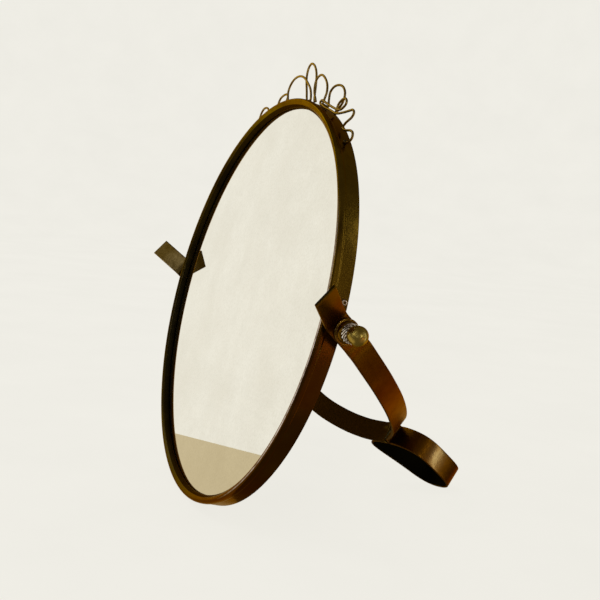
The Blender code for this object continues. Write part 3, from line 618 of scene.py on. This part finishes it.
def collar(side, sign):
    """Collar with slanting teeth cut round it, shallower on its two shoulders."""
    rows = [(COLLAR_R - 0.5, 0.0), (COLLAR_R - 0.25, 0.25)]
    rows += [(COLLAR_R - 0.08, 0.45 + 0.2 * i) for i in range(17)]
    rows += [(COLLAR_R - 0.25, COLLAR_LEN - 0.15), (COLLAR_R - 0.45, COLLAR_LEN),
             (SCREW_R + GAP, COLLAR_LEN), (SCREW_R + GAP, 0.0)]
    toothed, straight = range(1, 20), range(2, 19)

    def ridge(t, h):
        """1 on the crest of a tooth, 0 in the groove."""
        return abs(2 * ((t * TEETH / (2 * math.pi) + h * TOOTH_SLANT) % 1.0) - 1) ** 0.8

    def cut(t, r, h, k):
        depth = TOOTH_DEPTH if k in straight else 0.2 if k in toothed else 0.0
        return depth * (ridge(t, h) - 0.8)

    # Crests of the teeth get a painted highlight and the grooves painted shade.
    def painted_light(t, h, k):
        return (1.2 if ridge(t, h) > 0.55 else -1.2) if k in toothed else 0.2

    lathe("collar_" + side, rows, TEETH * 8, KNURL, "screw_" + side, "knurled_collar_" + side,
          painted_light, on_axis(sign, COLLAR_X), side, bulge=cut)


def knob(side, sign):
    """Thumb screw: a ball with a short neck, and a plain shank that stands in for the thread."""
    base = math.pi - math.asin((COLLAR_R - 0.45) / BALL_R)
    ball = [(BALL_R * math.sin(a), BALL_X + BALL_R * math.cos(a))
            for a in [math.pi * k / 44 for k in range(1, 44)] if a < base]
    tip_x, head_r = BRACKET_R[0] + 0.2, 2.0
    screw = [(AXIS_R, BALL_X + BALL_R)] + ball + [
        (COLLAR_R - 0.5, COLLAR_TOP_X + 0.35), (COLLAR_R - 0.55, COLLAR_TOP_X + 0.1),
        (SCREW_R, COLLAR_TOP_X + 0.1), (SCREW_R, tip_x + 0.2), (SCREW_R - 0.2, tip_x), (AXIS_R, tip_x)]

    def dull(t, r, h, k):
        return 0.04 * math.sin(3 * t + h) - 0.04 if r > head_r else 0.0

    lathe("knob_" + side, [(r, h - SEAT_X) for r, h in screw], 72, KNOB, "screw_" + side,
          "thumb_screw_" + side, [0.5 if r > head_r else 0.9 for r, _ in screw],
          on_axis(sign, SEAT_X), side, closed=False, bulge=dull)


for side, sign in (("right", 1), ("left", -1)):
    for part in (bracket, rivet, sleeve, washer, collar, knob):
        part(side, sign)


# ---- strap stand -------------------------------------------------------------------------------
def midline():
    """The arms' middle line as (y, z) every half millimetre both ways from station 0."""
    out = {}
    for sign in (1, -1):
        y = z = 0.0
        for i in range(400):
            s = sign * i * 0.5
            out[round(s * 2)] = (y, STRAP_ORIGIN_Z + z)
            a = math.radians(table(STRAP_SLOPE, s))
            y += sign * 0.5 * math.cos(a)
            z -= sign * 0.5 * math.sin(a)
    return out


MIDLINE = midline()


def strap_point(x, s, sag=0.0):
    """Point of an arm at station s along its middle line, and the direction across the strip."""
    lo = math.floor(s * 2)
    f = s * 2 - lo
    (y0, z0), (y1, z1) = MIDLINE[lo], MIDLINE[lo + 1]
    a = math.radians(table(STRAP_SLOPE, s))
    across = Vector((0.0, math.sin(a), math.cos(a)))
    return Vector((x, y0 + (y1 - y0) * f, z0 + (z1 - z0) * f)) - across * sag, across


def loop_axes():
    """Start of the rear loop's middle line, and its directions across, rearward and sideways."""
    pitch, roll = math.radians(LOOP_PITCH_DEG), math.radians(LOOP_ROLL_DEG)
    across = Vector((math.sin(roll), math.sin(pitch) * math.cos(roll), math.cos(pitch) * math.cos(roll)))
    sideways = (Vector((1.0, 0.0, 0.0)) - across * across.x).normalized()
    start = strap_point(0.0, LOOP_T)[0] - across * LOOP_DROP
    return start, across, across.cross(sideways), sideways


LOOP_START, LOOP_ACROSS, LOOP_REARWARD, LOOP_SIDEWAYS = loop_axes()
LEFT_SAG_CURVE = smooth(LEFT_SAG, 12)


def loop_point(x, s):
    """Point of the rear loop's middle line from its sideways offset and station."""
    return LOOP_START + LOOP_SIDEWAYS * x + LOOP_REARWARD * (s - LOOP_T)


def loop_half(sign, steps=72):
    """Half of the rear loop as (station, offset) points, from the neck to the middle of the rear."""
    half_w, egg, square = LOOP_RIGHT if sign > 0 else LOOP_LEFT
    rows = []
    for i in range(2, steps + 1):
        q = math.pi * (i + 1) / (steps + 1)
        width = half_w * math.sin(q) * (1 + egg * math.cos(q) + square * math.cos(2 * q))
        x = sign * (width + LOOP_START_X * (1 - q / math.pi)) + LOOP_SKEW * (1 - math.cos(q)) / 2
        rows.append((LOOP_T + LOOP_HALF_LEN * (1 - math.cos(q)), x))
    return rows


def arm_half(tip):
    """An arm as (station, offset) points, from its tip to the neck."""
    bend = math.radians(NECK_IN_DEG)
    entry = (NECK_T + NECK_BEND * math.sin(bend), NECK_X + NECK_BEND * (1 - math.cos(bend)))
    rows = [r for r in smooth(ARM + (entry,), 14) if r[0] > tip]
    return [Vector((tip, table(ARM, tip)))] + rows


def neck_bend(steps=18):
    """Small bend at the neck as (station, offset, share of the way from arm to loop)."""
    rows = []
    for i in range(1, steps + 1):
        f = i / steps
        h = math.radians(NECK_IN_DEG + (90 - NECK_IN_DEG) * f)
        rows.append((NECK_T + NECK_BEND * math.sin(h), NECK_X + NECK_BEND * (1 - math.cos(h)),
                     f * f * (3 - 2 * f)))
    return rows


def left_bend(s):
    """How far the hand-bent left arm sags and is drawn inwards at a station."""
    f = min(1.0, max(0.0, (s - LEFT_DRAW_FROM) / (NECK_T + 1 - LEFT_DRAW_FROM)))
    return table(LEFT_SAG_CURVE, s), LEFT_DRAW_IN * math.sin(math.pi * f ** 1.4) ** 2


def strap_half(sign, tip):
    """Middle line of one arm and its half of the loop, as (point, direction across, station)."""
    path = []
    for s, x, share in [(s, x, 0.0) for s, x in arm_half(tip)] + neck_bend():
        sag, draw = left_bend(s) if sign < 0 else (0.0, 0.0)
        on_arm, arm_across = strap_point(sign * (x - draw), s, sag)
        spot = on_arm.lerp(loop_point(sign * x, s), share)
        path.append((spot, arm_across.lerp(LOOP_ACROSS, share).normalized(), s))
    return path + [(loop_point(x, s), LOOP_ACROSS, s) for s, x in loop_half(sign)]


# Stations of the painted highlight on the loop's right, of the painted glint on the left arm's inner face near its
# tip, and of the painted shade above the neck.
LOOP_HIGHLIGHT_T, TIP_GLINT_T, NECK_SHADE_T = LOOP_T + 15.8, 13.0, NECK_T - 4.0


def strap_section(half, thick):
    """Outline of the strip's section as (across, through) points, with rounded corners."""
    soft = STRAP_EDGE_R
    face = [(half * k, thick) for k in (-0.75, -0.5, -0.25, 0, 0.25, 0.5, 0.75)]
    corner = [(half - soft + soft * math.sin(a), thick - soft + soft * math.cos(a))
              for a in [math.radians(d) for d in (0, 22.5, 45, 67.5, 90)]]
    outer = [(-u, v) for u, v in reversed(corner)] + face + corner
    return outer + [(u, -v) for u, v in reversed(outer)]


def strap_wear_and_light(s, u, v, half, right):
    """How far a point of the strip is brightened, or blackened where it is below 0.

    Its edges are worn bright. The patch on the loop's right and a spot on the left arm's inner face near its tip
    are painted highlights; the inside of the loop and a band above the neck are painted shade.
    """
    if abs(u) > half - STRAP_EDGE_R * 0.9:
        return 0.5
    if v < 0:
        # Inner face: painted highlight on the left arm near its tip, painted shade inside the loop.
        return 2.6 if s < TIP_GLINT_T and not right else -1.3 if s > LOOP_T else 0.0
    # Outer face: painted highlight on the loop's right, less painted shade above the neck.
    painted_light = 2.6 * math.exp(-((s - LOOP_HIGHLIGHT_T) / 4.2) ** 2) if right else 0.0
    return painted_light - 0.85 * math.exp(-((s - NECK_SHADE_T) / 4.8) ** 2)


def strap():
    """The whole strip in one piece: down the right arm, round the loop and up the left arm."""
    path = strap_half(1, RIGHT_TIP) + strap_half(-1, LEFT_TIP)[-2::-1]
    verts, flow, wear_and_painted_light, rings, run = [], [], [], [], 0.0
    count = len(path)
    length = sum((b[0] - a[0]).length for a, b in zip(path, path[1:]))
    for i, (centre, across, s) in enumerate(path):
        before, after = path[max(i - 1, 0)][0], path[min(i + 1, count - 1)][0]
        tangent = (after - before).normalized()
        across = (across - tangent * across.dot(tangent)).normalized()
        face = tangent.cross(across).normalized()
        if i:
            run += (centre - path[i - 1][0]).length
        at_tip = i in (0, count - 1)
        taper = STRAP_TIP_TAPER if at_tip else 0.0
        half, thick = table(STRAP_W, s) / 2 - taper, STRAP_T / 2 - taper
        ring = []
        for u, v in strap_section(half, thick):
            ring.append(len(verts))
            verts.append(centre + across * u + face * v)
            flow.append((min(run, length - run), 0.0 if v > 0 else INNER_FACE, u))
            # The two ends of the strip are blackened as painted shade.
            wear_and_painted_light.append(-0.9 if at_tip else strap_wear_and_light(s, u, v, half, i < count / 2))
        rings.append(ring)
    faces = ring_grid(rings, caps=True)
    return piece("strap", verts, faces, STRAP, "stand", "fork_strap", flow, wear_and_painted_light)


strap()


def neck_joint():
    """Web of solder between the arms at the neck."""
    centre, across = strap_point(0.0, NECK_T)
    along = Vector((0, across.z, -across.y))
    width = table(STRAP_W, NECK_T) + 0.4
    half = NECK_X - STRAP_T / 2
    plan = [(-1.2, half + 0.25), (-0.4, half + 0.05), (0.3, half), (0.9, half + 0.05)]
    outline = plan + [(s, -x) for s, x in reversed(plan)]
    verts, rings, layers = [], [], 24
    for j in range(layers + 1):
        k = j / layers - 0.5
        swell = 1.0 + 0.25 * noise.noise(Vector((j * 0.4, 3.1, 0.0))) - 0.5 * max(0.0, abs(k) - 0.44) / 0.06
        ring = []
        for s, x in outline:
            ring.append(len(verts))
            bulged = centre + along * s * max(0.4, swell) + Vector((x * 0.97, 0, 0))
            verts.append(bulged + across * width * k)
        rings.append(ring)
    faces = [f[::-1] for f in ring_grid(rings, caps=True)]
    return piece("neck_web", verts, faces, SOLDER, "stand", "neck_solder")


neck_joint()


# ---- wire crown --------------------------------------------------------------------------------
def crown_path(per_span=8):
    """The crown wire's middle line, never lower than on the band."""
    rows = [(a, r or CROWN_BASE_R, CROWN_Y + side * CROSSING) for a, r, side in CROWN]
    return [on_rim(a, max(r, CROWN_BASE_R), y) for a, r, y in smooth(rows, per_span)]


tube("crown", crown_path(), WIRE_R, 14, WIRE, "mirror", "crown_wire")
for side in ("left", "right"):
    dress_cad_node("crown_solder_" + side, SOLDER)


# ---- stage, light and camera, in metres ------------------------------------------------------------
# The floor glows by itself, and neither metal nor glass sees it. They see the cards, which are placed
# for the photo's view and partly reach below the floor, the fill lamp and the dim air.
PAPER, FLOOR_GLOW, FLOOR_BODY = (0.863, 0.847, 0.783), 0.965, 0.05
FLOOR_R, SWEEP_R, WALL_TOP, CENTRE_R = 2.0, 1.0, 3.5, 0.001
AIR, AIR_STRENGTH = (1.0, 0.82, 0.5, 1), 0.16


def glow_material(name, colour, strength, body=0.0):
    """Evenly glowing paper with a faint mottle; body is how much it also takes light and shade."""
    g = Graph(name)
    place = g.node("ShaderNodeTexCoord").outputs["Object"]
    soft = g.noise(place, 9.0, 4.0, 0.6)
    tone = g.mix(g.ramp(soft, ((0.3, 0.0), (0.7, 1.0))), colour, tuple(0.975 * c for c in colour))
    g.bsdf.inputs["Base Color"].default_value = (body, body, body, 1)
    g.bsdf.inputs["Roughness"].default_value = 1.0
    g.bsdf.inputs["Specular IOR Level"].default_value = 0.0
    g.wire(tone, "Emission Color")
    g.bsdf.inputs["Emission Strength"].default_value = strength
    return g.mat


def stage_mesh(name, verts, faces, mat, seen=False):
    """Studio surface seen either by the camera or only in the metal and the glass."""
    mesh = bpy.data.meshes.new(name)
    mesh.from_pydata(verts, [], faces)
    mesh.materials.append(mat)
    mesh.shade_smooth()
    ob = bpy.data.objects.new(name, mesh)
    bpy.context.scene.collection.objects.link(ob)
    ob.visible_camera, ob.visible_glossy = seen, not seen
    ob.visible_diffuse = ob.visible_shadow = seen
    return ob


def sweep_backdrop():
    """Pale floor that curves up into a wall on every side."""
    rings, verts, steps = [], [], 96
    profile = [(0.0, 0.0), (1.2, 0.0), (FLOOR_R, 0.0)]
    turns = [math.radians(d) for d in range(6, 91, 6)]
    profile += [(FLOOR_R + SWEEP_R * math.sin(a), SWEEP_R - SWEEP_R * math.cos(a)) for a in turns]
    profile += [(FLOOR_R + SWEEP_R, WALL_TOP)]
    for i in range(steps):
        t = 2 * math.pi * i / steps
        ring = []
        for r, h in profile:
            ring.append(len(verts))
            verts.append(((r + CENTRE_R) * math.cos(t), (r + CENTRE_R) * math.sin(t), h))
        rings.append(ring)
    faces = ring_grid(rings, closed_rings=False, closed_along=True) + [tuple(ring[0] for ring in rings)]
    return stage_mesh("studio_floor", verts, faces,
                      glow_material("studio_paper", PAPER, FLOOR_GLOW, FLOOR_BODY), seen=True)


sweep_backdrop()


def glass_cards():
    """What the glass looks out on: a pale wall and floor, and a tan sheet lying nearer the mirror."""
    pale = glow_material("pale_card", (0.88, 0.85, 0.76), 1.0)
    tan = glow_material("tan_card", (0.60, 0.50, 0.31), 1.0)
    near, far = Vector((-0.075, 0.020)), Vector((-0.330, -0.338))       # edge of the tan sheet
    distance, wall_top, pale_z, tan_z, tan_width = 1.6, 1.1, 0.001, 0.0015, 0.3
    out = [Vector((distance * math.cos(a), distance * math.sin(a)))
           for a in (math.radians(-187), math.radians(-128))]
    floor = [(p.x, p.y, pale_z) for p in (near, out[0], out[1], far)]
    wall = [(p.x, p.y, wall_top) for p in out]
    stage_mesh("pale_card", floor + wall, [(0, 1, 2, 3), (1, 4, 5, 2)], pale)
    side = Vector((far.y - near.y, near.x - far.x)).normalized() * -tan_width
    sheet = [(p.x, p.y, tan_z) for p in (near, far, far + side, near + side)]
    stage_mesh("tan_card", sheet, [(0, 1, 2, 3)], tan)


glass_cards()


def strip_card(name, azimuth, distance, low, high, width, colour, strength):
    """Upright card, seen only in the metal and glass, that faces the mirror from a direction."""
    a = math.radians(azimuth)
    mid = Vector((math.cos(a), math.sin(a))) * distance
    along = Vector((-math.sin(a), math.cos(a))) * width / 2
    verts = [(p.x, p.y, z) for z in (low, high) for p in (mid - along, mid + along)]
    return stage_mesh(name, verts, [(0, 1, 3, 2)], glow_material(name, colour, strength))


# name, direction in degrees from +X, distance, low and high edge, width, colour, strength
CARDS = (("warm_low_right", 25.0, 0.9, -0.90, 0.10, 0.9, (1.0, 0.62, 0.28), 0.34),
         ("olive_right", 12.0, 1.0, 0.18, 0.80, 0.8, (1.0, 0.85, 0.45), 0.42),
         ("ember", 25.0, 0.8, -0.16, -0.05, 0.14, (1.0, 0.42, 0.08), 2.0),
         ("window_right", 55.0, 1.0, 0.15, 0.85, 0.22, (1.0, 0.95, 0.85), 2.2),
         ("window_front", -75.0, 1.1, 0.25, 0.9, 0.25, (1.0, 0.96, 0.88), 2.5),
         ("sky_front", -60.0, 1.0, 1.00, 1.60, 0.5, (1.0, 0.90, 0.72), 0.65),
         ("sliver_front", -40.0, 1.2, 0.02, 0.5, 0.10, (1.0, 0.97, 0.9), 2.0),
         ("lamp_glint", 6.0, 0.5, 0.11, 0.17, 0.06, (1.0, 0.96, 0.85), 10.0),
         ("loop_glint", 50.5, 0.6, -0.19, 0.09, 0.10, (1.0, 0.92, 0.74), 2.2),
         ("amber_rear", 76.0, 0.9, -0.33, -0.02, 0.5, (1.0, 0.80, 0.40), 0.12),
         ("amber_low", 85.0, 0.85, -0.77, -0.335, 0.6, (1.0, 0.66, 0.24), 0.70),
         ("amber_back", 120.0, 1.0, -0.75, 0.30, 1.0, (1.0, 0.72, 0.24), 0.85))
for card in CARDS:
    strip_card(*card)


def softbox(name, at, size, power, mirrored=True):
    """Square lamp that points at the middle of the mirror."""
    data = bpy.data.lights.new(name, "AREA")
    data.shape = "RECTANGLE"
    data.size, data.size_y = size, size
    data.energy = power
    ob = bpy.data.objects.new(name, data)
    bpy.context.scene.collection.objects.link(ob)
    ob.location = at
    ob.visible_glossy = mirrored
    ob.rotation_euler = (LAMPS_AIM - Vector(at)).to_track_quat("-Z", "Y").to_euler()
    return ob


LAMPS_AIM = Vector((0, 0, 0.1))
softbox("key", (0.9, -0.9, 2.0), 0.9, 14, mirrored=False)
softbox("fill", (-1.6, -0.8, 1.4), 1.0, 5)
world = bpy.data.worlds.new("studio_air")
world.use_nodes = True
world.node_tree.nodes["Background"].inputs["Color"].default_value = AIR
world.node_tree.nodes["Background"].inputs["Strength"].default_value = AIR_STRENGTH
bpy.context.scene.world = world
bpy.context.scene.view_settings.view_transform = "Standard"

lens = bpy.data.cameras.new("camera")
lens.lens, lens.sensor_width = CAMERA_LENS, SENSOR
lens.clip_start, lens.clip_end = 0.01, 20.0
lens.shift_y = CAMERA_SHIFT_Y
camera = bpy.data.objects.new("camera", lens)
bpy.context.scene.collection.objects.link(camera)
right, up = Vector(CAMERA_RIGHT), -Vector(CAMERA_DOWN)
turn = Matrix((right, up, right.cross(up))).transposed()
lean = Matrix.Rotation(-LEAN, 3, "X")
camera.matrix_world = Matrix.Translation(TO_ROW @ Vector(CAMERA_AT)) @ (lean @ turn).to_4x4()
bpy.context.scene.camera = camera
